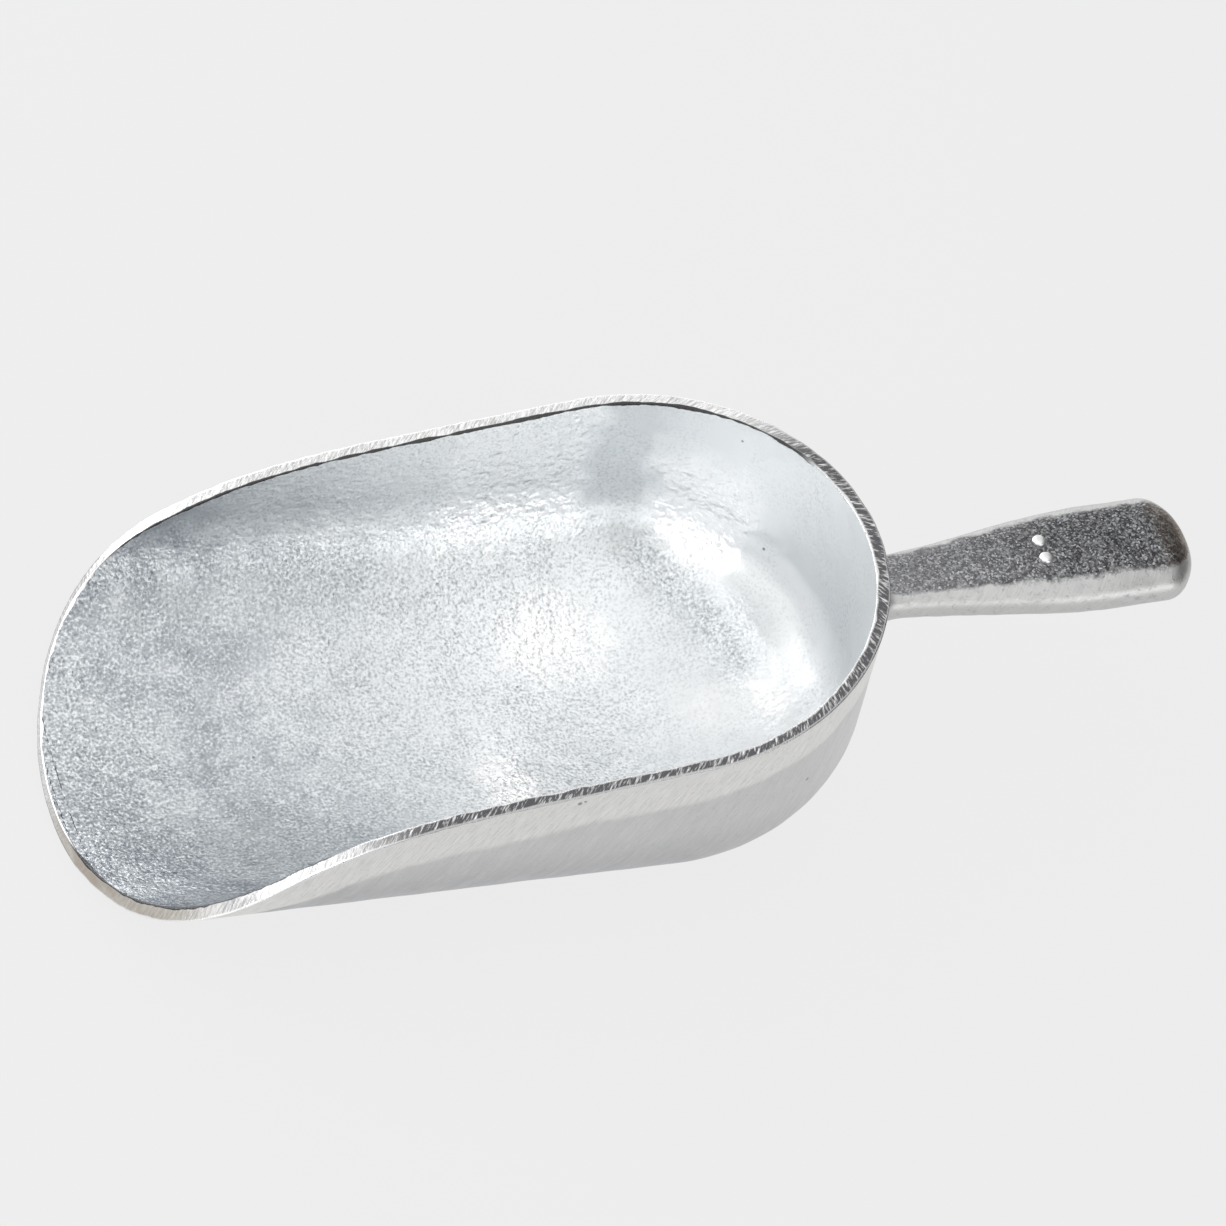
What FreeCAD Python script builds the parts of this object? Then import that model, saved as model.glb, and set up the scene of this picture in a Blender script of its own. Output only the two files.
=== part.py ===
"""One-piece cast aluminium ice scoop.

Millimetres. +X runs from the lip towards the end of the handle, +Y across the bowl, +Z up. The keel
lies on z = 0 and the origin is under the middle of the overall box. The scoop is a single casting,
split here at its natural regions: the bowl, the handle and the raised size mark. They meet face to
face. The shape is drawn with the lip at x = 0 and moved to the origin at the end.
"""

import math
import os

import FreeCAD
import Part

Vec = FreeCAD.Vector

# Bowl, outside sizes. The bottom is half an ellipse and the walls above it are upright.
BOWL_LENGTH = 230.0
BOWL_WIDTH = 138.0
ROUND_DEPTH = 43.5
BACK_HEIGHT = 84.0
SIDE_WALL = 3.8
FLOOR = 5.2

# Rim seen from the side: a curve rising from the lip, then a straight slope up to the back.
LIP_ANGLE = 51.0
LIP_PULL = 61.5
CURVE_END_X = 115.5
CURVE_END_PULL = 58.0
RIM_SLOPE = 0.1515
INNER_EDGE_BREAK = 0.7

# Handle: an oval bar that widens from the neck towards a rounded end.
HANDLE_LENGTH = 98.0
HANDLE_CENTRE_Z = 58.5
HANDLE_RISE = 0.0487
NECK_HALF = (10.1, 5.6)
GRIP_HALF = (17.7, 7.4)
WIDENING_LENGTH = 72.0
END_ROUNDING = 11.0
OVAL_POWER = 2.5
OVAL_POINTS = 32
ROOT_FLARE = 2.4
ROOT_FLARE_LENGTH = 4.0
SECTION_STEP = 6.0
END_ANGLES = (25, 45, 60, 72, 82)

# Raised size mark on top of the handle: round pips in a row across it.
PIP_RADIUS = 1.7
PIP_HEIGHT = 0.8
PIP_SINK = 0.5
PIP_FROM_BOWL = 53.0
PIP_GAP = 6.4

# Working allowances: overshoot of the cutting shapes, fineness of the rim surface, and tolerances.
OVERRUN = 8.0
RIBBON_OVERRUN = 2.0
RIBBON_POINTS = 41
HALVINGS = 50
INSIDE_TOLERANCE = 0.001
ON_SURFACE = 0.01
CLEAR_OF_OUTSIDE = 0.9 * SIDE_WALL

HALF_WIDTH = BOWL_WIDTH / 2
BACK_CENTRE_X = BOWL_LENGTH - HALF_WIDTH


def bowl_section(half_width, depth, x, whole):
    """Upright face across the bowl: half an ellipse with upright walls, or its +Y half only."""
    top = BACK_HEIGHT + OVERRUN
    centre = Vec(x, 0, ROUND_DEPTH)
    ellipse = Part.Ellipse(Vec(x, half_width, ROUND_DEPTH), Vec(x, 0, ROUND_DEPTH - depth), centre)
    sweep = math.pi if whole else math.pi / 2
    far_y = -half_width if whole else 0.0
    far_z = ROUND_DEPTH if whole else ROUND_DEPTH - depth
    corners = [Vec(x, far_y, far_z), Vec(x, far_y, top), Vec(x, half_width, top)]
    corners.append(Vec(x, half_width, ROUND_DEPTH))
    edges = [Part.Arc(ellipse, 0, sweep).toShape()]
    edges += [Part.makeLine(a, b) for a, b in zip(corners, corners[1:])]
    return Part.Face(Part.Wire(edges))


def bowl_volume(half_width, depth, front_x):
    """Trough with a round back: the section pushed along X, then turned about the back's centre."""
    trough = bowl_section(half_width, depth, front_x, True).extrude(Vec(BACK_CENTRE_X - front_x, 0, 0))
    half_section = bowl_section(half_width, depth, BACK_CENTRE_X, False)
    left_quarter = half_section.revolve(Vec(BACK_CENTRE_X, 0, 0), Vec(0, 0, 1), -90)
    right_quarter = left_quarter.mirror(Vec(0, 0, 0), Vec(0, 1, 0))
    return trough.fuse([left_quarter, right_quarter])


def rim_curve():
    """Outside edge of the rim seen from the side, from the lip to where the straight slope starts."""
    angle = math.radians(LIP_ANGLE)
    end = Vec(CURVE_END_X, 0, BACK_HEIGHT - RIM_SLOPE * (BOWL_LENGTH - CURVE_END_X))
    curve = Part.BezierCurve()
    curve.setPoles([
        Vec(0, 0, 0),
        Vec(LIP_PULL * math.cos(angle), 0, LIP_PULL * math.sin(angle)),
        end - Vec(1, 0, RIM_SLOPE) * CURVE_END_PULL,
        end,
    ])
    return curve


def where_wall_turns_upright(curve):
    """Curve parameter at which the rim passes from the round bottom to the upright wall."""
    low, high = 0.0, 1.0
    for _ in range(HALVINGS):
        middle = (low + high) / 2
        if curve.value(middle).z < ROUND_DEPTH:
            low = middle
        else:
            high = middle
    return high


def wall_point(point, side):
    """The point of the outer wall at this place along and height, and the outward normal there."""
    drop = max(ROUND_DEPTH - point.z, 0.0) / ROUND_DEPTH
    across = side * HALF_WIDTH * math.sqrt(max(1 - drop * drop, 0.0))
    normal = Vec(0, across / HALF_WIDTH ** 2, -drop / ROUND_DEPTH)
    return Vec(point.x, across, point.z), normal.normalize()


def rim_cutter():
    """Surface that trims the bowl: square to the wall all along the rim, the lip included."""
    curve = rim_curve()
    turn = where_wall_turns_upright(curve)
    outer, inner = [], []
    for i in range(RIBBON_POINTS):
        step = 2 * i / (RIBBON_POINTS - 1) - 1
        point, normal = wall_point(curve.value(turn * step * step), math.copysign(1, step))
        outer.append(point + normal * RIBBON_OVERRUN)
        inner.append(point - normal * (FLOOR + RIBBON_OVERRUN))
    rails = []
    for points in (outer, inner):
        rail = Part.BSplineCurve()
        rail.interpolate(points)
        rails.append(rail.toShape())
    ribbon = Part.makeRuledSurface(*rails)
    end = curve.value(1.0)
    past = Vec(BOWL_LENGTH + OVERRUN, 0, BACK_HEIGHT + RIM_SLOPE * OVERRUN)
    profile = [curve.toShape(turn, 1.0), Part.makeLine(end, past)]
    width = HALF_WIDTH + RIBBON_OVERRUN
    sheets = [edge.translated(Vec(0, -width, 0)).extrude(Vec(0, 2 * width, 0)) for edge in profile]
    return Part.makeCompound([ribbon] + sheets)


def build_bowl(outside):
    """The bowl's shell, trimmed by the rim surface, with the rim's inner edge rounded off."""
    inside = bowl_volume(HALF_WIDTH - SIDE_WALL, ROUND_DEPTH - FLOOR, -2 * OVERRUN)
    cutter = rim_cutter()
    pieces, _ = outside.cut(inside).generalFuse([cutter])
    keel = Vec(BACK_CENTRE_X, 0, FLOOR / 2)
    bowl = next(solid for solid in pieces.Solids if solid.isInside(keel, INSIDE_TOLERANCE, True))
    inner_edges = []
    for edge in bowl.Edges:
        middle = Part.Vertex(edge.valueAt((edge.FirstParameter + edge.LastParameter) / 2))
        on_rim = cutter.distToShape(middle)[0] < ON_SURFACE
        from_outside = min(face.distToShape(middle)[0] for face in outside.Faces)
        if on_rim and from_outside > CLEAR_OF_OUTSIDE:
            inner_edges.append(edge)
    return bowl.makeFillet(INNER_EDGE_BREAK, inner_edges).Solids[0]


def handle_halves(along):
    """Half width and half depth of the handle at this distance from the back of the bowl."""
    t = min(max(along / WIDENING_LENGTH, 0.0), 1.0)
    blend = t * t * (3 - 2 * t)
    flare = ROOT_FLARE * math.exp(-((along / ROOT_FLARE_LENGTH) ** 2)) if along > 0 else ROOT_FLARE
    return [neck + (grip - neck) * blend + flare for neck, grip in zip(NECK_HALF, GRIP_HALF)]


def handle_oval(along, scale):
    """Closed oval wire across the handle, a superellipse."""
    centre = Vec(BOWL_LENGTH + along, 0, HANDLE_CENTRE_Z + HANDLE_RISE * along)
    half_width, half_depth = handle_halves(along)
    points = []
    for i in range(OVAL_POINTS):
        angle = 2 * math.pi * i / OVAL_POINTS
        y, z = math.cos(angle), math.sin(angle)
        y = math.copysign(abs(y) ** (2 / OVAL_POWER), y) * half_width * scale
        z = math.copysign(abs(z) ** (2 / OVAL_POWER), z) * half_depth * scale
        points.append(centre + Vec(0, y, z))
    loop = Part.BSplineCurve()
    loop.interpolate(Points=points, PeriodicFlag=True)
    return Part.Wire(loop.toShape())


def build_handle(outside):
    """Oval sections growing towards the end, a small flare at the root and a rounded end."""
    straight = HANDLE_LENGTH - END_ROUNDING
    gaps = round((straight + SECTION_STEP) / SECTION_STEP)
    gap = (straight + SECTION_STEP) / gaps
    sections = [handle_oval(i * gap - SECTION_STEP, 1) for i in range(gaps + 1)]
    for degrees in END_ANGLES:
        angle = math.radians(degrees)
        sections.append(handle_oval(straight + END_ROUNDING * math.sin(angle), math.cos(angle)))
    tip = Vec(BOWL_LENGTH + HANDLE_LENGTH, 0, HANDLE_CENTRE_Z + HANDLE_RISE * HANDLE_LENGTH)
    loft = Part.makeLoft(sections + [Part.Vertex(tip)], True, False, False, 3)
    return loft.cut(outside).Solids[0]


def build_size_mark():
    """Low round pips on top of the handle, sunk a little into it."""
    _, half_depth = handle_halves(PIP_FROM_BOWL)
    crown_z = HANDLE_CENTRE_Z + HANDLE_RISE * PIP_FROM_BOWL + half_depth + PIP_HEIGHT
    ball = (PIP_RADIUS ** 2 + PIP_HEIGHT ** 2) / (2 * PIP_HEIGHT)
    base_angle = math.degrees(math.asin(1 - (PIP_HEIGHT + PIP_SINK) / ball))
    pips = []
    for side in (-1, 1):
        centre = Vec(BOWL_LENGTH + PIP_FROM_BOWL, side * PIP_GAP / 2, crown_z - ball)
        pips.append(Part.makeSphere(ball, centre, Vec(0, 0, 1), base_angle, 90))
    return pips


def main():
    """Build the sub-parts, move them to the origin and save one STEP file each."""
    outside = bowl_volume(HALF_WIDTH, ROUND_DEPTH, -OVERRUN)
    pips = build_size_mark()
    parts = {
        "bowl": build_bowl(outside),
        "handle": build_handle(outside).cut(Part.makeCompound(pips)).Solids[0],
        "size_pip_right": pips[0],
        "size_pip_left": pips[1],
    }
    os.makedirs("parts", exist_ok=True)
    to_origin = Vec(-(BOWL_LENGTH + HANDLE_LENGTH) / 2, 0, 0)
    for name, shape in parts.items():
        shape.translated(to_origin).exportStep(os.path.join("parts", name + ".step"))


main()
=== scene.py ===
"""Looks of the cast aluminium ice scoop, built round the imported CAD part. Metres, +Z up."""

import math
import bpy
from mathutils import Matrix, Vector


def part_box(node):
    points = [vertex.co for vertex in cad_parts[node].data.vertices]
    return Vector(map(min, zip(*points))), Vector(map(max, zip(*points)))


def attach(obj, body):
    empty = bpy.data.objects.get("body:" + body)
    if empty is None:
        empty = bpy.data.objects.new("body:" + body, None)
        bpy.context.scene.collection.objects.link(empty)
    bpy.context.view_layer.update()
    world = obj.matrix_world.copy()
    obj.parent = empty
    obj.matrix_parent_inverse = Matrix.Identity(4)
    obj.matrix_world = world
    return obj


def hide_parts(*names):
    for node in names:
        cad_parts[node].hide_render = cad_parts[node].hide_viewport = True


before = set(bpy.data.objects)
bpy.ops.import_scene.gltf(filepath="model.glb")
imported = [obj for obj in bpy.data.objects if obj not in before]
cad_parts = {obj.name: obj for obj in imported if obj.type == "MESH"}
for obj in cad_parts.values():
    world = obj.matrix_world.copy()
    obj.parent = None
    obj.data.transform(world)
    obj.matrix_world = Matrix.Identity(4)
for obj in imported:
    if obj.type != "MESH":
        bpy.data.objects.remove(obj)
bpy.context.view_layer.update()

from types import SimpleNamespace

import bmesh
import bpy
import numpy as np
from mathutils import Matrix, Vector

MM = 0.001
QUARTER_TURN = math.pi / 2
MIRROR = [1, -1, 1]
TINY = 1e-9
ON_WALL = 1e-6      # millimetres, how near the wall counts as on it
WELD = 2e-6         # metres, points nearer than this become one

# ---------------------------------------------------------------- design sizes
# millimetres, with x = 0 at the lip
bowl_low, bowl_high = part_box("bowl")
LIP_X = bowl_low.x / MM
LENGTH = round((bowl_high.x - bowl_low.x) / MM, 1)
HALF_WIDTH = round(bowl_high.y / MM, 1)
BACK_HEIGHT = round(bowl_high.z / MM, 1)
ROUND_DEPTH = 43.5
SIDE_WALL = 3.8
FLOOR = 5.2
LIP_ANGLE = math.radians(51.0)
LIP_PULL = 61.5
CURVE_END_X = 115.5
CURVE_END_PULL = 58.0
RIM_SLOPE = 0.1515
BACK_X = LENGTH - HALF_WIDTH
INNER_HALF_WIDTH = HALF_WIDTH - SIDE_WALL
INNER_DEPTH = ROUND_DEPTH - FLOOR

HANDLE_LENGTH = 98.0
HANDLE_CENTRE_Z = 58.5
HANDLE_RISE = 0.0487
HANDLE_SUNK = 1.6
NECK_HALF = (10.1, 5.6)
GRIP_HALF = (17.7, 7.4)
WIDENING_LENGTH = 72.0
END_ROUNDING = 11.0
OVAL_POWER = 2.5
ROOT_FLARE = 2.4
ROOT_FLARE_LENGTH = 4.0

# rim: mean size, slow and quick unevenness, least and most, millimetres
OUTER_BREAK = (0.35, 0.08, 0.05, 0.15, 0.7)
INNER_BREAK = (0.52, 0.15, 0.10, 0.2, 1.1)
GROUND_DOWN = (0.12, 0.05, 0.02, -math.inf, math.inf)

# smooth random fields: wavelength in millimetres, seed, and sometimes the number of waves
OUTER_EDGE_WOBBLE = (9.0, 11)
EDGE_FLUTTER = (3.0, 12)
INNER_EDGE_WOBBLE = (12.0, 13)
FLAT_WOBBLE = (16.0, 14)
RIPPLE_LONG = (26.0, 21)
RIPPLE_SHORT = (9.0, 22)
RIPPLE_FINE = (3.6, 23, 40)
DENT_LONG = (34.0, 24)
DENT_SHORT = (12.0, 25)
HANDLE_DENT_LONG = (20.0, 31)
HANDLE_DENT_SHORT = (7.0, 32)
SKIN_BORDER = (9.0, 33)
PATCH_BORDERS = [(14.0, 41), (14.0, 42), (14.0, 43)]
PEBBLE_DRIFT = (18.0, 44)

# mesh density
ROWS = 120          # points from keel to rim on each side of the wall
LAND_ROWS = 7       # points across the ground flat of the rim
ROUND_ROWS = 5      # points round each edge of the rim
STEP = 1.1          # millimetres between stations along the rim
OUTSIDE, RIM, INSIDE = 0, 1, 2
OUTSIDE_FADE_ROWS = 6
INSIDE_FADE_ROWS = 5


# ---------------------------------------------------------------- helpers
def waves(points, wavelength, seed, count=28, spread=0.45):
    """Smooth random field at points (N, 3) in mm: a sum of plane waves, standard deviation about 1."""
    rng = np.random.default_rng(seed)
    directions = rng.normal(size=(count, 3))
    directions /= np.linalg.norm(directions, axis=1)[:, None]
    lengths = wavelength * np.exp(rng.normal(size=count) * spread)
    phases = rng.uniform(0, 2 * math.pi, count)
    turns = points @ (directions * (2 * math.pi / lengths)[:, None]).T + phases
    return np.sin(turns).sum(1) * math.sqrt(2 / count)


def between(value, low, high):
    """0 at low, 1 at high, smooth in between."""
    t = np.clip((value - low) / (high - low), 0, 1)
    return t * t * (3 - 2 * t)


def blob(point, centre, radius):
    """Soft round patch: 1 at its centre, fading out over its radius."""
    return np.exp(-sum(((p - c) / r) ** 2 for p, c, r in zip(point, centre, radius)))


def unit(v):
    return v / np.maximum(np.linalg.norm(v, axis=-1, keepdims=True), 1e-12)


def path_length(points):
    """Distance along a line of points (N, K), starting at 0."""
    return np.concatenate([[0], np.cumsum(np.linalg.norm(np.diff(points, axis=0), axis=1))])


def make_mesh(name, verts, faces, materials, face_material, attributes):
    """Smooth mesh from points in mm, with per-point attributes."""
    mesh = bpy.data.meshes.new(name)
    mesh.from_pydata((verts * MM).tolist(), [], faces.tolist())
    for key, values in attributes.items():
        values = np.asarray(values, np.float32)
        if values.ndim == 1:
            layer = mesh.attributes.new(key, "FLOAT", "POINT")
            layer.data.foreach_set("value", values)
        else:
            layer = mesh.attributes.new(key, "FLOAT_VECTOR", "POINT")
            layer.data.foreach_set("vector", values.ravel())
    for material in materials:
        mesh.materials.append(material)
    mesh.polygons.foreach_set("material_index", np.asarray(face_material, np.int32))
    mesh.polygons.foreach_set("use_smooth", np.ones(len(mesh.polygons), bool))
    mesh.update()
    obj = bpy.data.objects.new(name, mesh)
    bpy.context.scene.collection.objects.link(obj)
    return obj


def weld(obj):
    """Join points that meet, drop faces with no area, and turn all faces outwards."""
    bm = bmesh.new()
    bm.from_mesh(obj.data)
    bmesh.ops.remove_doubles(bm, verts=bm.verts, dist=WELD)
    bmesh.ops.dissolve_degenerate(bm, edges=bm.edges, dist=WELD / 2)
    bmesh.ops.recalc_face_normals(bm, faces=bm.faces)
    bm.to_mesh(obj.data)
    bm.free()


def ring_faces(rings, around):
    """Grid of point numbers for closed rings, and the same grid moved on by one point."""
    grid = np.arange(rings * around).reshape(rings, around)
    return grid, np.roll(grid, -1, 1)


# ---------------------------------------------------------------- bowl: outline
def rim_profile():
    """The front curve of the rim, from the lip up to where its slope becomes even, as rows of (x, z)."""
    t = np.linspace(0, 1, 2000) ** 2
    end = np.array([CURVE_END_X, BACK_HEIGHT - RIM_SLOPE * (LENGTH - CURVE_END_X)])
    poles = [
        np.array([0.0, 0.0]),
        LIP_PULL * np.array([math.cos(LIP_ANGLE), math.sin(LIP_ANGLE)]),
        end - CURVE_END_PULL * np.array([1.0, RIM_SLOPE]),
        end,
    ]
    weights = [(1 - t) ** 3, 3 * (1 - t) ** 2 * t, 3 * (1 - t) * t ** 2, t ** 3]
    return sum(w[:, None] * p for w, p in zip(weights, poles))


def wall_reach(z, half_width, depth):
    """Half width of the outer or inner wall at height z."""
    drop = np.clip((ROUND_DEPTH - z) / depth, 0, 1)
    return half_width * np.sqrt(1 - drop ** 2)


def wall_normal(z, half_width, depth):
    """Outward normal of the wall in its upright section, as (out, up)."""
    drop = np.clip((ROUND_DEPTH - z) / depth, 0, 1)
    out = np.sqrt(1 - drop ** 2) / half_width
    up = -drop / depth
    size = np.hypot(out, up)
    return out / size, up / size


def section_line(z_end, half_width, depth):
    """Points (out, up) along the wall from the keel line to height z_end, evenly spaced, and their path."""
    drop_end = max((ROUND_DEPTH - z_end) / depth, 0.0)
    angle = np.linspace(0, math.acos(min(drop_end, 1.0)), 200)
    out = half_width * np.sin(angle)
    up = ROUND_DEPTH - depth * np.cos(angle)
    if z_end > ROUND_DEPTH:
        rise = np.linspace(ROUND_DEPTH, z_end, 60)[1:]
        out = np.concatenate([out, np.full(len(rise), half_width)])
        up = np.concatenate([up, rise])
    run = np.concatenate([[0], np.cumsum(np.hypot(np.diff(out), np.diff(up)))])
    even = np.linspace(0, run[-1], ROWS)
    return np.interp(even, run, out), np.interp(even, run, up), even


def rim_stations():
    """Rim path on the +Y side from the lip to the back: x, y, z, angle round the back, path length."""
    front = rim_profile()
    slope_x = np.linspace(CURVE_END_X, BACK_X, 200)[1:]
    side_x = np.concatenate([front[:, 0], slope_x])
    side_z = np.concatenate([front[:, 1], BACK_HEIGHT - RIM_SLOPE * (LENGTH - slope_x)])
    side_y = wall_reach(side_z, HALF_WIDTH, ROUND_DEPTH)
    turn = np.linspace(QUARTER_TURN, 0, 400)[1:]
    x = np.concatenate([side_x, BACK_X + HALF_WIDTH * np.cos(turn)])
    y = np.concatenate([side_y, HALF_WIDTH * np.sin(turn)])
    z = np.concatenate([side_z, BACK_HEIGHT - RIM_SLOPE * (LENGTH - BACK_X - HALF_WIDTH * np.cos(turn))])
    phi = np.concatenate([np.full(len(side_x), QUARTER_TURN), turn])
    run = path_length(np.stack([x, y, z], 1))
    even = np.linspace(0, run[-1], int(run[-1] / STEP) + 1)
    return [np.interp(even, run, column) for column in (x, y, z, phi)] + [even]


# ---------------------------------------------------------------- bowl: wall and rim
def rim_directions(rim, phi, on_back):
    """At each station, the wall's outward normal and the way that the rim's ground flat faces."""
    tangent = unit(np.gradient(rim, axis=0))
    tangent[0] = (0, 1, 0)
    tangent[-1] = (0, -1, 0)
    out, up = wall_normal(rim[:, 2], HALF_WIDTH, ROUND_DEPTH)
    across_x = np.where(on_back, np.cos(phi) * out, 0)
    across_y = np.where(on_back, np.sin(phi) * out, out)
    normal = np.stack([across_x, across_y, up], 1)
    facing = unit(np.cross(normal, tangent))
    facing *= np.sign(facing[:, 2:3] - facing[:, 0:1])
    return normal, facing


def wall_thickness(rim, normal, on_back):
    """Distance along the normal from the rim's outer edge to the inner wall, at each station."""
    depth = np.linspace(0, FLOOR + 1, 400)
    thickness = np.empty(len(rim))
    for i, start in enumerate(rim):
        inward = start - normal[i] * depth[:, None]
        reach = np.hypot(inward[:, 0] - BACK_X, inward[:, 1]) if on_back[i] else inward[:, 1]
        gap = wall_reach(inward[:, 2], INNER_HALF_WIDTH, INNER_DEPTH) - reach
        gap = np.where(inward[:, 2] < FLOOR - TINY, -1, gap)
        thickness[i] = depth[np.argmax(gap > -ON_WALL)]
    return thickness


def uneven(rim, sizes, field, flutter):
    """A size in mm that varies slowly and quickly along the rim, within its limits."""
    mean, slow, quick, least, most = sizes
    return np.clip(mean + slow * waves(rim, *field)[:, None] + quick * flutter, least, most)


def edge_arc(corner, size, a, b):
    """Quarter round at a corner from the side facing a to the side facing b."""
    centre = corner - (a + b) * size
    angle = np.linspace(0, QUARTER_TURN, ROUND_ROWS)[None, :, None]
    return centre[:, None] + size[:, None] * (a[:, None] * np.cos(angle) + b[:, None] * np.sin(angle))


def wall_rows(edge_points, on_back, half_width, depth):
    """Rows of points from the keel up to each edge point, their normals and path coordinates."""
    count = len(edge_points)
    points = np.empty((count, ROWS, 3))
    normals = np.empty((count, ROWS, 3))
    paths = np.empty((count, ROWS, 2))
    for i, point in enumerate(edge_points):
        reach, up, run = section_line(point[2], half_width, depth)
        normal_out, normal_up = wall_normal(up, half_width, depth)
        if on_back[i]:
            angle = math.atan2(point[1], point[0] - BACK_X) if point[1] > ON_WALL else 0.0
            across = np.array([math.cos(angle), math.sin(angle)])
            origin = np.array([BACK_X, 0.0])
            along = BACK_X + HALF_WIDTH * (QUARTER_TURN - angle)
        else:
            across = np.array([0.0, 1.0])
            origin = np.array([point[0], 0.0])
            along = point[0]
        points[i] = np.column_stack([origin + reach[:, None] * across, up])
        normals[i] = np.column_stack([normal_out[:, None] * across, normal_up])
        paths[i] = np.column_stack([np.full(ROWS, along), run])
    return points, normals, paths


def half_bowl():
    """The +Y half of the bowl as a grid (station, row) that runs from the keel outside over the rim to the
    keel inside: points, normals, path coordinates, region of each row, rim edge and depth below the rim."""
    x, y, z, phi, run = rim_stations()
    rim = np.stack([x, y, z], 1)
    on_back = phi < QUARTER_TURN - TINY
    normal, facing = rim_directions(rim, phi, on_back)
    inner_rim = rim - normal * wall_thickness(rim, normal, on_back)[:, None]
    inner_rim[:, 2] -= np.where(on_back, RIM_SLOPE * (rim[:, 0] - inner_rim[:, 0]), 0)

    flutter = waves(rim, *EDGE_FLUTTER)[:, None]
    outer_break = uneven(rim, OUTER_BREAK, OUTER_EDGE_WOBBLE, flutter)
    inner_break = uneven(rim, INNER_BREAK, INNER_EDGE_WOBBLE, flutter)
    ground = facing * uneven(rim, GROUND_DOWN, FLAT_WOBBLE, flutter)
    outer_arc = edge_arc(rim - ground, outer_break, normal, facing)
    inner_arc = edge_arc(inner_rim - ground, inner_break, -normal, facing)[:, ::-1]
    share = np.linspace(0, 1, LAND_ROWS + 2)[1:-1][None, :, None]
    flat = outer_arc[:, -1][:, None] * (1 - share) + inner_arc[:, 0][:, None] * share
    rim_points = np.concatenate([outer_arc, flat, inner_arc], 1)
    steps = np.linalg.norm(np.diff(rim_points, axis=1), axis=2)
    across = np.concatenate([np.zeros((len(rim), 1)), np.cumsum(steps, 1)], 1)
    rim_paths = np.stack([np.broadcast_to(run[:, None], across.shape), across], -1)
    rim_normals = np.broadcast_to(facing[:, None], rim_points.shape)

    outer = wall_rows(outer_arc[:, 0], on_back, HALF_WIDTH, ROUND_DEPTH)
    inner = [grid[:, ::-1] for grid in wall_rows(inner_arc[:, -1], on_back, INNER_HALF_WIDTH, INNER_DEPTH)]
    points = np.concatenate([outer[0][:, :-1], rim_points, inner[0][:, 1:]], 1)
    normals = np.concatenate([outer[1][:, :-1], rim_normals, -inner[1][:, 1:]], 1)
    paths = np.concatenate([outer[2][:, :-1], rim_paths, inner[2][:, 1:]], 1)
    rim_rows = rim_points.shape[1]
    region = np.repeat([OUTSIDE, RIM, INSIDE], [ROWS - 1, rim_rows, ROWS - 1])
    below = np.zeros(points.shape[:2])
    outer_run = outer[2][:, :, 1]
    below[:, :ROWS - 1] = (outer_run[:, -1:] - outer_run)[:, :-1]
    edge = np.zeros(points.shape[:2])
    edge[:, ROWS - 1:ROWS - 1 + ROUND_ROWS] = -1
    edge[:, ROWS - 1 + rim_rows - ROUND_ROWS:ROWS - 1 + rim_rows] = 1
    return SimpleNamespace(points=points, normals=normals, paths=paths, region=region, edge=edge, below=below)


def rippled(half):
    """The half bowl's points moved by casting ripple: both ways inside, only inwards outside, and not at
    the rim, where the ripple fades out over a few rows."""
    points = half.points.reshape(-1, 3)
    inside = (0.08 * waves(points, *RIPPLE_LONG) + 0.026 * waves(points, *RIPPLE_SHORT)
              + 0.018 * waves(points, *RIPPLE_FINE))
    outside = np.minimum(-0.10 + 0.05 * waves(points, *DENT_LONG) + 0.02 * waves(points, *DENT_SHORT), 0)
    stations, rows = half.points.shape[:2]
    row = np.tile(np.arange(rows), stations)
    region = np.tile(half.region, stations)
    outside_fade = np.clip((ROWS - 2 - row) / OUTSIDE_FADE_ROWS, 0, 1)
    inside_fade = np.clip((row - rows + ROWS - 1) / INSIDE_FADE_ROWS, 0, 1)
    shift = np.where(region == OUTSIDE, outside * outside_fade, 0)
    shift = np.where(region == INSIDE, inside * inside_fade, shift)
    return points + half.normals.reshape(-1, 3) * shift[:, None]


# ---------------------------------------------------------------- bowl: where its finish and its painted light and shade change
# painted highlight (+), also glossier and more wrinkled, and painted shade (-) inside the bowl, millimetres
# from the lip: centre, radius, strength
PAINTED_LIGHT_SPOTS = [
    ((156, 34, 11), (15, 12, 12), 0.9),
    ((131, -14, 6), (9, 14, 12), 1.0),
    ((185, -18, 10), (20, 12, 12), -0.15),
    ((206, -30, 28), (14, 12, 14), 0.6),
    ((221, 8, 30), (12, 13, 14), 0.2),
    ((224, -14, 38), (10, 10, 14), 0.3),
    ((193, 4, 10), (14, 12, 10), 0.35),
    ((209, -4, 19), (8, 12, 8), 0.4),
    ((12, 18, 10), (20, 30, 14), -0.8),
    ((62, -26, 8), (22, 12, 10), -0.5),
    ((95, 48, 18), (18, 10, 12), -0.3),
    ((62, 52, 24), (34, 10, 10), -0.70),
    ((102, 55, 27), (18, 9, 9), -0.40),
]
# a pebbly arc with painted shade where the floor turns up into the far side of the back
PEBBLY_PAINTED_SHADE_ARC = [(186, 50, 24), (194, 41, 21), (201, 30, 19), (205, 17, 17)]
PEBBLY_PAINTED_SHADE_ARC_RADIUS = (7, 8, 7)
PEBBLY_SPOT = ((134, -20, 7), (16, 14, 12))
BORDER_WANDER = 1.6


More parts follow.
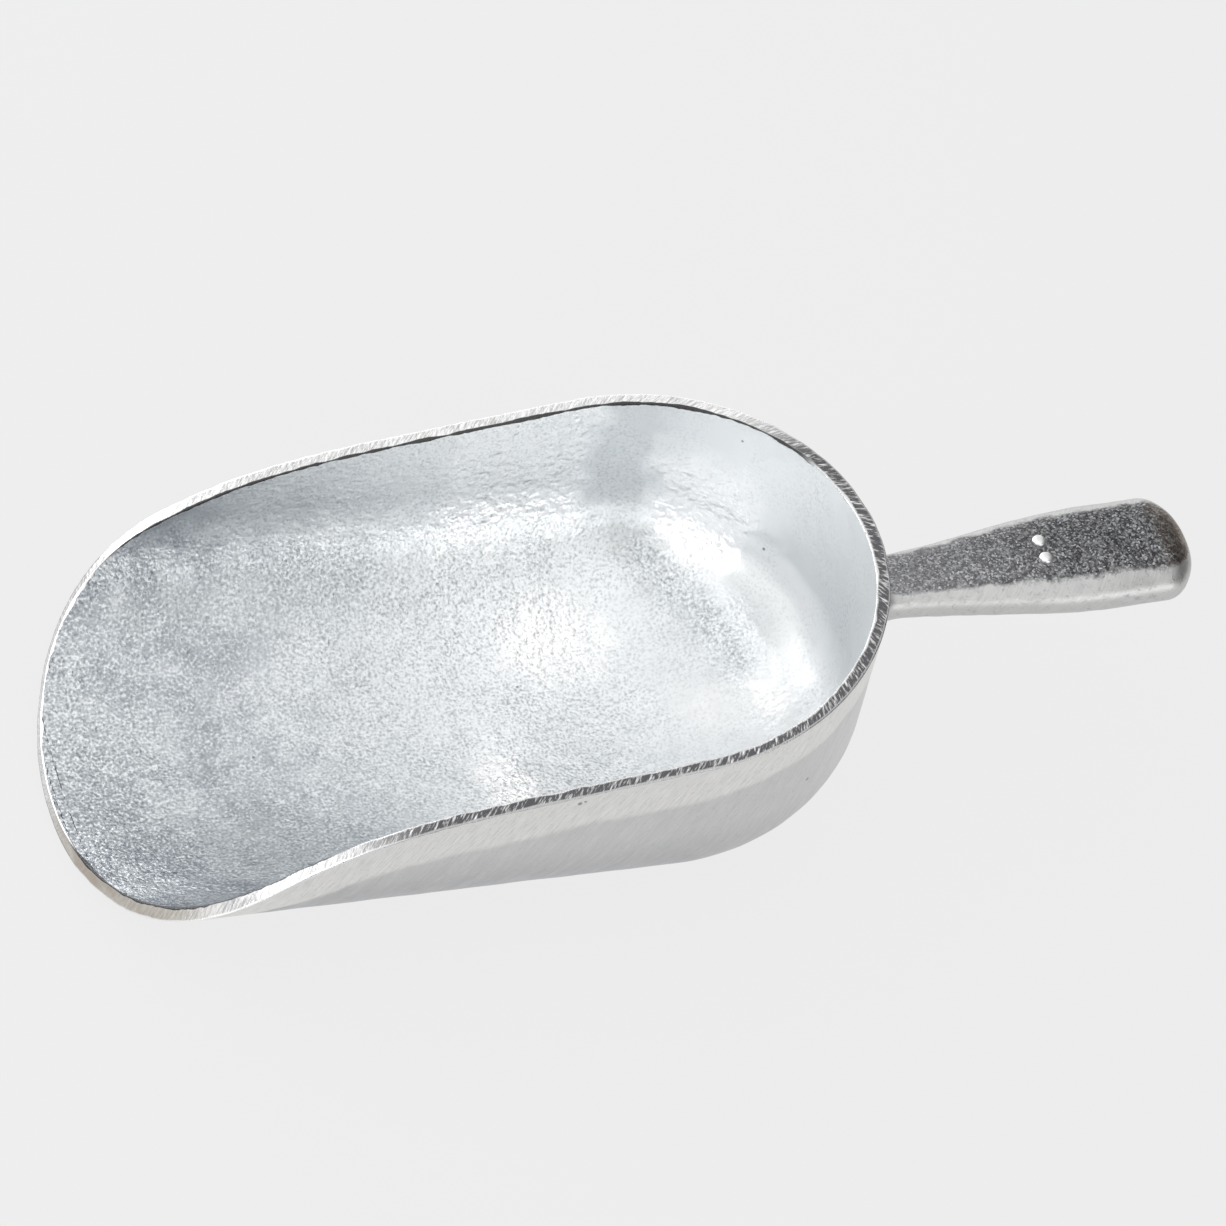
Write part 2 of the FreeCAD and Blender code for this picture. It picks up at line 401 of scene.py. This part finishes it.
def rim_shades(points, edge):
    """Where the rim's ground flat gets painted shade, which of its edges get painted shade instead of a
    painted highlight, and where the lip's face begins.
    """
    x, y = points[:, 0], points[:, 1]
    # places on the rim's ground flat that get painted shade
    rim_painted_shade = between(x, 52, 85) * between(y, 54, 30)
    far_inner = between(x, 18, 34) * between(y, 22, 34)
    near_inner = between(y, -8, -20) * between(x, 70, 52)
    tip_outer = between(x, 34, 24) * between(y, -30, -10)
    inner_shade = np.maximum(np.maximum(far_inner, near_inner), 0.30 * rim_painted_shade)
    outer_shade = np.maximum(tip_outer, 0.55 * rim_painted_shade)
    lip = between(x, 30, 14) * between(y, 8, -16)
    return {"rim_painted_shade": rim_painted_shade, "edge": np.abs(edge), "edge_shade": np.where(edge > 0, inner_shade, outer_shade),
            "lip": lip}


def painted_light_inside(points):
    """Painted light inside the bowl, from -1 painted shade to 1 painted highlight, with soft uneven borders.
    """
    x, y, z = (points + BORDER_WANDER * np.stack([waves(points, *field) for field in PATCH_BORDERS], 1)).T
    side_patch = between(x, 122, 130) * between(x, 173, 166) * between(abs(y), 46, 56) * between(z, 24, 36)
    far_band = between(x, 167, 176) * between(x, 194, 184) * between(y, 38, 50) * between(z, 20, 32)
    back_patch = between(x, 184, 193) * between(y, 34, 46) * between(z, 20, 32) * between(z, 68, 52)
    rear_floor = between(x, 120, 134) * between(z, 34, 22)
    side_wall = between(x, 130, 120) * between(x, 40, 66) * between(abs(y), 40, 52) * between(z, 28, 42)
    # painted highlight patches on the walls and back, and a band of painted shade between them
    value = side_patch + 0.55 * side_wall - 0.30 * far_band + back_patch + 0.12 * rear_floor
    for centre, radius, strength in PAINTED_LIGHT_SPOTS:
        value = value + strength * blob((x, y, z), centre, radius)
    for centre in PEBBLY_PAINTED_SHADE_ARC:
        value = value - 0.75 * blob((x, y, z), centre, PEBBLY_PAINTED_SHADE_ARC_RADIUS)
    return np.clip(value, -1, 1)


def pebbles(points):
    """How pebbly the inside is: most at the lip, less up the walls, nearly smooth at the back."""
    x, y, z = points.T
    towards_back = 0.25 + 0.75 * between(x, 205, 150)
    up_walls = 0.6 + 0.4 * between(z, 44, 26)
    value = (0.53 - 0.03 * between(x, 135, 40)) * towards_back * up_walls
    value = value + 0.26 * between(x, 52, 8)
    for centre in PEBBLY_PAINTED_SHADE_ARC:
        value = value + 0.42 * blob((x, y, z), centre, PEBBLY_PAINTED_SHADE_ARC_RADIUS)
    value = value + 0.20 * blob((x, y, z), *PEBBLY_SPOT)
    return np.clip(value + 0.05 * waves(points, *PEBBLE_DRIFT), 0, 1)


def build_bowl(materials):
    """Bowl casting: the rippled half and its mirror image, welded along the keel and the back."""
    half = half_bowl()
    stations, rows = half.points.shape[:2]
    points = rippled(half)
    points = np.concatenate([points, points * MIRROR])
    grid = np.arange(stations * rows).reshape(stations, rows)
    quads = np.stack([grid[:-1, :-1], grid[1:, :-1], grid[1:, 1:], grid[:-1, 1:]], -1).reshape(-1, 4)
    mirrored = quads[:, ::-1] + stations * rows
    first, second = half.region[:-1], half.region[1:]
    strip = np.where((first == OUTSIDE) | (second == OUTSIDE), OUTSIDE, INSIDE)
    strip = np.where((first == RIM) & (second == RIM), RIM, strip)
    paths = half.paths.reshape(-1, 2)
    flow = np.concatenate([paths, paths * [-1, 1]]) * MM
    attributes = rim_shades(points, np.tile(half.edge.ravel(), 2))
    attributes["painted_light_inside"] = painted_light_inside(points)
    attributes["pebbles"] = pebbles(points)
    attributes["below_rim"] = np.tile(half.below.ravel(), 2)
    attributes["flow"] = np.column_stack([flow, np.zeros(len(flow))])
    points[:, 0] += LIP_X
    faces = np.concatenate([quads, mirrored])
    obj = make_mesh("bowl_casting", points, faces, materials, np.tile(strip, 2 * (stations - 1)), attributes)
    weld(obj)
    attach(obj, "root")
    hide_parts("bowl")


# ---------------------------------------------------------------- handle and pips
SKIN_BORDER_FAR, SKIN_BORDER_NEAR = 45.0, 53.0      # degrees up from the sides to the cast skin's border
SKIN_FADE = 11.0                                    # degrees that the border is soft over
MEAN_HALF_GIRTH = 13.0                              # millimetres
PIP_SUNK = 0.1


def handle_halves(along):
    """Half width and half depth of the handle at a distance along it, flared at its root."""
    grow = between(along, 0, WIDENING_LENGTH)
    flare = ROOT_FLARE * np.exp(-(np.maximum(along, 0) / ROOT_FLARE_LENGTH) ** 2)
    return [neck + (grip - neck) * grow + flare for neck, grip in zip(NECK_HALF, GRIP_HALF)]


def handle_rings():
    """Distances along the handle at which its rings stand, closest at the root and the rounded end."""
    straight = HANDLE_LENGTH - END_ROUNDING
    root = np.linspace(-HANDLE_SUNK, 12, 30)
    shaft = np.linspace(12, straight, 90)[1:]
    end = straight + END_ROUNDING * np.sin(np.linspace(0, QUARTER_TURN, 26))[1:]
    return np.concatenate([root, shaft, end])


def build_handle(materials):
    """Handle casting: rings of a squarish oval, with the cast skin left on top and underneath."""
    along = handle_rings()
    end = np.clip((along - HANDLE_LENGTH + END_ROUNDING) / END_ROUNDING, 0, 1)
    scale = np.sqrt(1 - end ** 2)
    angle = np.linspace(0, 2 * math.pi, 160, endpoint=False)
    oval_y = np.sign(np.cos(angle)) * np.abs(np.cos(angle)) ** (2 / OVAL_POWER)
    oval_z = np.sign(np.sin(angle)) * np.abs(np.sin(angle)) ** (2 / OVAL_POWER)
    half_width, half_depth = handle_halves(along)
    y = (half_width * scale)[:, None] * oval_y
    x = np.broadcast_to((LENGTH + along)[:, None], y.shape)
    axis_z = np.broadcast_to((HANDLE_CENTRE_Z + HANDLE_RISE * along)[:, None], y.shape)
    surface = np.stack([x, y, axis_z + (half_depth * scale)[:, None] * oval_z], -1)
    outward = unit(surface - np.stack([x, np.zeros_like(y), axis_z], -1)).reshape(-1, 3)
    points = surface.reshape(-1, 3)
    dents = -0.12 + 0.05 * waves(points, *HANDLE_DENT_LONG) + 0.03 * waves(points, *HANDLE_DENT_SHORT)
    points = points + outward * np.minimum(dents, 0)[:, None]
    # how much of the cast skin is left: 1 on top and underneath, 0 on the linished sides
    lean = np.degrees(np.arctan2(np.abs(np.sin(angle)), np.abs(np.cos(angle))))
    border = np.where(oval_y > 0, SKIN_BORDER_FAR, SKIN_BORDER_NEAR)
    skin = (lean - border) / SKIN_FADE + 0.18 * waves(points, *SKIN_BORDER).reshape(y.shape) + 0.5
    # the middle of the rounded end is ground bright
    skin = np.clip(skin - 1.3 * between(end, 0.72, 0.95)[:, None], 0, 1)
    around = path_length(np.column_stack([oval_y, oval_z])) * MEAN_HALF_GIRTH
    flow = np.stack([x, np.broadcast_to(around, y.shape), np.zeros_like(y)], -1).reshape(-1, 3) * MM
    grid, onward = ring_faces(*y.shape)
    quads = np.stack([grid[:-1], grid[1:], onward[1:], onward[:-1]], -1).reshape(-1, 4)
    points[:, 0] += LIP_X
    attributes = {"flow": flow, "skin": skin.ravel()}
    obj = make_mesh("handle_casting", points, quads, materials, np.zeros(len(quads)), attributes)
    weld(obj)
    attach(obj, "root")
    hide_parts("handle")


def build_pip(name, material):
    """Raised round size mark: a low dome, a little steeper at its foot than a sphere."""
    low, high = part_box(name)
    centre = (low + high) / 2
    base_z = low.z + PIP_SUNK * MM
    height = 0.99 * (high.z - base_z)
    rise = np.linspace(0, 1, 16) * QUARTER_TURN
    angle = np.linspace(0, 2 * math.pi, 48, endpoint=False)
    reach = (high.x - low.x) / 2 * np.minimum(1, 1.02 * np.cos(rise) ** 0.62)[:, None]
    z = np.broadcast_to((height * np.sin(rise) ** 0.75)[:, None], (len(rise), len(angle)))
    dome = np.stack([reach * np.cos(angle), reach * np.sin(angle), z], -1).reshape(-1, 3)
    points = (dome + [centre.x, centre.y, base_z]) / MM
    grid, onward = ring_faces(len(rise), len(angle))
    faces = np.stack([grid[:-1], onward[:-1], onward[1:], grid[1:]], -1).reshape(-1, 4)
    obj = make_mesh(name + "_cast", points, faces, [material], np.zeros(len(faces)), {})
    weld(obj)
    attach(obj, "root")
    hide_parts(name)


# ---------------------------------------------------------------- materials
class Nodes:
    """Short helpers for building one material's node tree."""

    def __init__(self, name):
        self.material = bpy.data.materials.new(name)
        self.material.use_nodes = True
        self.tree = self.material.node_tree
        self.shader = self.tree.nodes["Principled BSDF"]

    def add(self, kind, inputs=None, **settings):
        node = self.tree.nodes.new("ShaderNode" + kind)
        for key, value in settings.items():
            setattr(node, key, value)
        for key, value in (inputs or {}).items():
            self.put(node.inputs[key], value)
        return node

    def put(self, socket, value):
        """Link a socket to another node's output, or set it to a plain value."""
        if hasattr(value, "is_linked"):
            self.tree.links.new(value, socket)
        else:
            socket.default_value = value

    def math(self, operation, a, b):
        return self.add("Math", {0: a, 1: b}, operation=operation).outputs[0]

    def attribute(self, name, output="Fac"):
        return self.add("Attribute", attribute_name=name).outputs[output]

    def spot(self):
        """Coordinates on the object, in metres."""
        return self.add("TexCoord").outputs["Object"]

    def axes(self, vector):
        return self.add("SeparateXYZ", {0: vector}).outputs

    def noise(self, vector, scale, detail=2.0, rough=0.5):
        inputs = {"Vector": vector, "Scale": scale, "Detail": detail, "Roughness": rough}
        return self.add("TexNoise", inputs).outputs["Fac"]

    def ramp(self, value, low, high, to_low=0.0, to_high=1.0, smooth=False):
        inputs = {"Value": value, "From Min": low, "From Max": high, "To Min": to_low, "To Max": to_high}
        node = self.add("MapRange", inputs)
        if smooth:
            node.interpolation_type = "SMOOTHSTEP"
        return node.outputs["Result"]

    def mix(self, factor, a, b):
        node = self.add("Mix", data_type="RGBA")
        self.put(node.inputs["Factor"], factor)
        self.put(node.inputs["A"], a)
        self.put(node.inputs["B"], b)
        return node.outputs["Result"]

    def part_mix(self, mask, amount, a, b):
        """Mix in b where the mask says, times an amount."""
        return self.mix(self.math("MULTIPLY", mask, amount), a, b)

    def stretched(self, angle, along, across):
        """Coordinates for strokes in the surface's own path space: turned by angle, stretched along."""
        turn = self.add("Mapping", {"Vector": self.attribute("flow", "Vector"),
                                    "Rotation": (0, 0, math.radians(angle))})
        return self.add("Mapping", {"Vector": turn.outputs[0], "Scale": (along, across, 1)}).outputs[0]

    def marks(self, spot, places):
        """Mask of small round marks at the given places, millimetres from the lip, with their radii."""
        mask = 0.0
        for x, y, z, radius in places:
            centre = ((LIP_X + x) * MM, y * MM, z * MM)
            away = self.add("VectorMath", {0: spot, 1: centre}, operation="DISTANCE").outputs["Value"]
            mask = self.math("MAXIMUM", mask, self.ramp(away, radius * MM, 0.55 * radius * MM, 0.0, 0.85))
        return mask

    def metal(self, base, roughness, height, depth):
        """Finish the material as bare metal with a bump that is depth metres deep."""
        self.put(self.shader.inputs["Base Color"], base)
        self.shader.inputs["Metallic"].default_value = 1.0
        self.put(self.shader.inputs["Roughness"], roughness)
        bump = self.add("Bump", {"Height": height, "Distance": depth, "Strength": 1.0})
        self.put(self.shader.inputs["Normal"], bump.outputs["Normal"])
        return self.material


def colour(r, g, b):
    return (r, g, b, 1.0)


def grey(value):
    return colour(value, value, value)


# small pits and nicks: x from the lip, y, z and radius, millimetres
INSIDE_MARKS = [
    (206.2, 47.0, 73.3, 0.5),
    (215.7, 34.9, 39.5, 0.6),
    (25.7, -33.6, 10.7, 0.9),
    (28.6, -32.0, 10.2, 0.5),
    (61.0, 8.0, 5.4, 0.5),
    (97.0, -31.0, 9.4, 0.5),
    (143.0, 21.0, 7.3, 0.5),
    (172.0, -22.0, 7.4, 0.6),
]
OUTSIDE_MARKS = [
    (123.7, -69.0, 65.0, 0.8),
    (125.2, -69.0, 65.6, 0.5),
    (196.0, -59.5, 52.0, 0.7),
    (110.0, 69.0, 40.0, 0.7),
]

# noises: waves per metre, detail, roughness
GRAIN = (1180.0, 1.2, 0.5)
PEBBLE = (620.0, 1.5, 0.5)
WRINKLES = (430.0, 1.5, 0.5)
INSIDE_CLOUDS = (62.0, 3.0, 0.6)
INSIDE_PATCHES = (16.0, 2.0, 0.5)
OUTSIDE_CLOUDS = (34.0, 3.0, 0.6)
FINE_PORES = (900.0, 2.0, 0.6)
STAIN = (55.0, 3.0, 0.6)
SKIN_FINE = (900.0, 2.5, 0.6)
SKIN_RAGGED = (500.0, 3.0, 0.6)
PIP_GRAIN = (900.0, 2.0, 0.5)
SKIN_GRAINS_PER_METRE = 1900.0

# belt strokes in path space: angle in degrees, waves per metre along and across the stroke
BAND_STROKES = (62, 170, 2300)
BROAD_STROKES = (62, 30, 330)
RIM_STROKES = (48, 190, 1500)
RIM_CROSSING = (66, 240, 1300)
HANDLE_STROKES = (62, 60, 1500)


def cast_inside():
    """As-cast inside of the bowl: cool pale grey, pebbly at the lip and smoother towards the back."""
    n = Nodes("cast_aluminium_inside")
    spot = n.spot()
    axes = n.axes(spot)
    amount = n.attribute("pebbles")
    painted_light = n.attribute("painted_light_inside")
    grain = n.noise(spot, *GRAIN)
    patches = n.noise(spot, *INSIDE_PATCHES)
    front = n.ramp(axes["X"], (LIP_X + 40) * MM, (LIP_X + 135) * MM, 1.0, 0.0, smooth=True)
    cloudy = n.ramp(n.noise(spot, *INSIDE_CLOUDS), 0.40, 0.62, 0.45, 1.0)
    base = n.mix(n.ramp(patches, 0.35, 0.65), colour(0.70, 0.73, 0.745), colour(0.77, 0.795, 0.81))
    # painted sheen: the walls lighter than the floor
    base = n.mix(n.ramp(axes["Z"], 0.018, 0.034, smooth=True), base, colour(0.86, 0.88, 0.885))
    base = n.part_mix(front, cloudy, base, colour(0.375, 0.40, 0.43))
    # painted highlight where the painted-light attribute is above 0, painted shade where it is below 0
    base = n.mix(n.ramp(painted_light, 0.0, 0.9), base, grey(0.985))
    base = n.mix(n.ramp(painted_light, 0.0, -1.0), base, colour(0.52, 0.55, 0.56))
    base = n.part_mix(n.ramp(grain, 0.49, 0.72), amount, base, colour(0.20, 0.22, 0.25))
    base = n.part_mix(n.ramp(grain, 0.48, 0.30), amount, base, colour(0.93, 0.95, 0.98))
    base = n.mix(n.marks(spot, INSIDE_MARKS), base, colour(0.16, 0.17, 0.18))
    rough = n.math("ADD", n.ramp(patches, 0.35, 0.65, -0.03, 0.03), n.ramp(painted_light, 0.2, 1.0, 0.34, 0.28))
    pits = n.math("ADD", n.math("MULTIPLY", grain, -0.55), n.math("MULTIPLY", n.noise(spot, *PEBBLE), 0.7))
    wrinkled = n.math("ADD", n.math("MULTIPLY", amount, 0.6), n.ramp(painted_light, 0.2, 1.0, 0.0, 1.2))
    wrinkles = n.math("MULTIPLY", n.noise(spot, *WRINKLES), wrinkled)
    height = n.math("ADD", n.math("MULTIPLY", pits, amount), wrinkles)
    return n.metal(base, rough, height, 0.00055)


def linished_outside():
    """Outside of the bowl: a belt-linished band under the rim, smoother metal below it. The band is painted
    lighter and the metal below it greyer and darker towards the bottom: painted light and shade.
    """
    n = Nodes("linished_aluminium_outside")
    spot = n.spot()
    axes = n.axes(spot)
    strokes = n.noise(n.stretched(*BAND_STROKES), 1.0, 3.0, 0.6)
    broad = n.noise(n.stretched(*BROAD_STROKES), 1.0, 2.0, 0.5)
    wander = n.math("MULTIPLY", n.math("SUBTRACT", n.noise(spot, *OUTSIDE_CLOUDS), 0.5), 7.0)
    band = n.ramp(n.math("ADD", n.attribute("below_rim"), wander), 14.2, 11.6, smooth=True)
    worked = n.ramp(band, 0.0, 1.0, 0.14, 0.34)
    # painted shade: the metal below the band darkest at the bottom, lighter upwards
    upwards = n.ramp(axes["Z"], 0.022, 0.050, smooth=True)
    painted_shade_below = n.mix(upwards, colour(0.35, 0.355, 0.37), grey(0.575))
    base = n.mix(band, painted_shade_below, colour(0.735, 0.73, 0.715))
    base = n.part_mix(n.ramp(broad, 0.42, 0.68), 0.10, base, colour(0.88, 0.88, 0.87))
    base = n.part_mix(n.ramp(strokes, 0.50, 0.70), worked, base, grey(0.36))
    base = n.part_mix(n.ramp(strokes, 0.48, 0.30), worked, base, colour(0.95, 0.95, 0.94))
    base = n.part_mix(n.ramp(n.noise(spot, *FINE_PORES), 0.56, 0.72), 0.22, base, colour(0.33, 0.33, 0.34))
    base = n.mix(n.marks(spot, OUTSIDE_MARKS), base, colour(0.24, 0.24, 0.25))
    rough = n.ramp(strokes, 0.3, 0.7, 0.28, 0.40)
    scored = n.math("MULTIPLY", strokes, n.ramp(band, 0.0, 1.0, 0.2, 0.5))
    height = n.math("ADD", scored, n.math("MULTIPLY", broad, 0.12))
    return n.metal(base, rough, height, 0.00008)


def ground_rim():
    """The flat of the rim: metal ground by a coarse belt, strokes running across it at a slant."""
    n = Nodes("ground_aluminium_rim")
    spot = n.spot()
    first = n.noise(n.stretched(*RIM_STROKES), 1.0, 3.5, 0.65)
    second = n.noise(n.stretched(*RIM_CROSSING), 1.0, 3.0, 0.65)
    strokes = n.math("ADD", n.math("MULTIPLY", first, 0.6), n.math("MULTIPLY", second, 0.4))
    pale = n.mix(n.ramp(strokes, 0.40, 0.60), grey(0.46), grey(0.92))
    # painted shade on the rim's ground flat: nearly black between pale strokes
    dark = n.mix(n.ramp(strokes, 0.505, 0.64), colour(0.105, 0.105, 0.11), grey(0.86))
    warm = n.mix(n.ramp(strokes, 0.35, 0.65), colour(0.44, 0.415, 0.375), colour(0.64, 0.61, 0.56))
    warm = n.part_mix(n.ramp(n.noise(spot, *STAIN), 0.50, 0.62), 0.5, warm, colour(0.38, 0.30, 0.23))
    base = n.mix(n.attribute("lip"), n.mix(n.attribute("rim_painted_shade"), pale, dark), warm)
    # painted highlight along the rounded edges of the rim, painted shade on them where edge_shade is high
    painted_edge_light = n.mix(n.attribute("edge_shade"), grey(0.94), grey(0.07))
    base = n.mix(n.attribute("edge"), base, painted_edge_light)
    return n.metal(base, n.ramp(strokes, 0.3, 0.7, 0.20, 0.34), strokes, 0.00022)


def handle_skin():
    """Handle: dark cast skin on top and underneath, linished bright sides."""
    n = Nodes("cast_aluminium_handle")
    spot = n.spot()
    axes = n.axes(spot)
    grains = n.add("TexVoronoi", {"Vector": spot, "Scale": SKIN_GRAINS_PER_METRE})
    glint = n.axes(grains.outputs["Color"])["X"]
    fine = n.noise(spot, *SKIN_FINE)
    ragged = n.math("MULTIPLY", n.math("SUBTRACT", n.noise(spot, *SKIN_RAGGED), 0.5), 1.5)
    border = n.math("ADD", n.attribute("skin"), ragged)
    border = n.math("ADD", border, n.math("MULTIPLY", n.math("SUBTRACT", glint, 0.5), 0.5))
    cover = n.ramp(border, 0.15, 0.85)
    root_x = LIP_X + LENGTH
    # the dark skin grows darker from the root towards the end
    skin_darker_outwards = n.ramp(axes["X"], root_x * MM, (root_x + 60) * MM, 0.19, 0.06)
    dark = n.add("CombineColor", {0: skin_darker_outwards, 1: skin_darker_outwards, 2: n.math("MULTIPLY", skin_darker_outwards, 1.05)}).outputs[0]
    sparkle = n.math("POWER", n.ramp(glint, 0.30, 1.0), 1.7)
    dark = n.part_mix(sparkle, n.ramp(fine, 0.30, 0.62, 0.35, 1.0), dark, colour(0.56, 0.57, 0.59))
    tip = n.ramp(axes["X"], (root_x + 86) * MM, (root_x + 95) * MM, 0.0, 0.5)
    dark = n.mix(tip, dark, colour(0.36, 0.27, 0.20))
    strokes = n.noise(n.stretched(*HANDLE_STROKES), 1.0, 3.0, 0.6)
    side = n.mix(n.ramp(strokes, 0.38, 0.70), colour(0.60, 0.60, 0.595), colour(0.53, 0.53, 0.525))
    skin_height = n.math("MULTIPLY", n.math("MULTIPLY", fine, cover), 2.2)
    height = n.math("ADD", skin_height, n.math("MULTIPLY", strokes, 0.5))
    return n.metal(n.mix(cover, side, dark), n.ramp(cover, 0, 1, 0.44, 0.34), height, 0.0001)


def bright_pip():
    """Size marks, rubbed bright where they stand proud of the dark skin."""
    n = Nodes("rubbed_aluminium_pip")
    spot = n.spot()
    grain = n.noise(spot, *PIP_GRAIN)
    return n.metal(n.mix(grain, grey(0.90), grey(0.96)), n.ramp(grain, 0.3, 0.7, 0.36, 0.48), grain, 0.00005)


# ---------------------------------------------------------------- floor, light and camera
FLOOR_RADIUS = 6.0
FLOOR_GAP = 0.0003
FLOOR_GLOW = 0.81
AMBIENT = 0.15
PALE = 0.847

# softboxes in metres: name, centre, size along the two sides, direction it faces, radiance
SOFTBOXES = [
    ("over_left", (-0.60, 0.00, 0.60), (0.40, 1.60), (0, 0, -1), 1.50),
    ("over_middle", (-0.20, 0.00, 0.60), (0.40, 1.60), (0, 0, -1), 0.93),
    ("over_right", (0.20, 0.00, 0.60), (0.40, 1.60), (0, 0, -1), 1.08),
    ("left_back", (-0.90, 0.68, 0.27), (0.45, 0.50), (1, 0, 0), 4.60),
    ("left", (-0.90, 0.00, 0.27), (0.90, 0.50), (1, 0, 0), 0.95),
    ("left_front", (-0.90, -0.68, 0.27), (0.45, 0.50), (1, 0, 0), 2.30),
    ("back_left", (-0.45, 0.90, 0.27), (0.90, 0.50), (0, -1, 0), 3.30),
    ("back_right", (0.45, 0.90, 0.27), (0.90, 0.50), (0, -1, 0), 1.10),
    ("front_right", (0.45, -0.90, 0.27), (0.90, 0.50), (0, 1, 0), 1.50),
    ("front_high", (0.50, -1.10, 0.60), (0.22, 0.50), (0, 1, 0), 2.60),
]

# camera, millimetres and degrees: the point it looks at, its direction, and its shift in its own plane
CAMERA_TARGET = (LIP_X + 115.0, 0.0, 23.0)
CAMERA_AZIMUTH, CAMERA_ELEVATION, CAMERA_ROLL = -28.32, 47.07, 15.184
CAMERA_DISTANCE = 2760.0
CAMERA_SIDEWAYS, CAMERA_DOWN = -44.62, -29.21
FOCAL_PER_WIDTH = 9838.43 / 1226
SENSOR_WIDTH = 36.0
FAR_CLIP = 50.0


def make_floor():
    """Pale floor, mostly self-lit, so that it takes almost no shadow."""
    bpy.ops.mesh.primitive_circle_add(vertices=96, radius=FLOOR_RADIUS, fill_type="NGON",
                                      location=(0, 0, -FLOOR_GAP))
    floor = bpy.context.object
    floor.name = "floor"
    n = Nodes("pale_floor")
    n.put(n.shader.inputs["Base Color"], grey(0.04))
    n.shader.inputs["Roughness"].default_value = 0.9
    n.shader.inputs["Specular IOR Level"].default_value = 0.0
    n.put(n.shader.inputs["Emission Color"], grey(1))
    n.shader.inputs["Emission Strength"].default_value = FLOOR_GLOW
    floor.data.materials.append(n.material)


def make_softboxes():
    """Rectangular lights that the metal reflects and the camera doesn't see."""
    for name, centre, size, facing, radiance in SOFTBOXES:
        light = bpy.data.lights.new(name, "AREA")
        light.shape = "RECTANGLE"
        light.size, light.size_y = size
        light.energy = math.pi * size[0] * size[1] * radiance
        obj = bpy.data.objects.new(name, light)
        bpy.context.scene.collection.objects.link(obj)
        back = -Vector(facing)
        across = Vector((1, 0, 0)) if abs(back.x) < 0.5 else Vector((0, 1, 0))
        rotation = Matrix((across, back.cross(across), back)).transposed()
        obj.matrix_world = Matrix.Translation(centre) @ rotation.to_4x4()
        obj.visible_camera = False


def make_world():
    """Dim all round for the light, and plain pale to the camera."""
    world = bpy.data.worlds.new("studio")
    bpy.context.scene.world = world
    world.use_nodes = True
    tree = world.node_tree
    tree.nodes.clear()
    lit = tree.nodes.new("ShaderNodeBackground")
    lit.inputs["Color"].default_value = grey(AMBIENT)
    seen = tree.nodes.new("ShaderNodeBackground")
    seen.inputs["Color"].default_value = grey(PALE)
    path = tree.nodes.new("ShaderNodeLightPath")
    choose = tree.nodes.new("ShaderNodeMixShader")
    out = tree.nodes.new("ShaderNodeOutputWorld")
    tree.links.new(path.outputs["Is Camera Ray"], choose.inputs[0])
    tree.links.new(lit.outputs[0], choose.inputs[1])
    tree.links.new(seen.outputs[0], choose.inputs[2])
    tree.links.new(choose.outputs[0], out.inputs[0])


def make_camera():
    """Camera that looks down into the bowl, rolled so that the level scoop appears tilted."""
    azimuth, elevation, roll = (math.radians(v) for v in (CAMERA_AZIMUTH, CAMERA_ELEVATION, CAMERA_ROLL))
    ahead = math.cos(elevation)
    back = Vector((math.sin(azimuth) * ahead, -math.cos(azimuth) * ahead, math.sin(elevation)))
    level = Vector((0, 0, 1)).cross(back).normalized()
    upright = back.cross(level)
    right = level * math.cos(roll) + upright * math.sin(roll)
    up = upright * math.cos(roll) - level * math.sin(roll)
    spot = Vector(CAMERA_TARGET) + back * CAMERA_DISTANCE - right * CAMERA_SIDEWAYS - up * CAMERA_DOWN
    data = bpy.data.cameras.new("camera")
    data.sensor_width = SENSOR_WIDTH
    data.lens = FOCAL_PER_WIDTH * SENSOR_WIDTH
    data.clip_end = FAR_CLIP
    camera = bpy.data.objects.new("camera", data)
    bpy.context.scene.collection.objects.link(camera)
    rotation = Matrix((right, up, back)).transposed()
    camera.matrix_world = Matrix.Translation(spot * MM) @ rotation.to_4x4()
    bpy.context.scene.camera = camera


# ---------------------------------------------------------------- the scene
build_bowl([linished_outside(), ground_rim(), cast_inside()])
build_handle([handle_skin()])
pip_material = bright_pip()
for node in ("size_pip_right", "size_pip_left"):
    build_pip(node, pip_material)

make_floor()
make_softboxes()
make_world()
make_camera()
bpy.context.scene.view_settings.view_transform = "Standard"
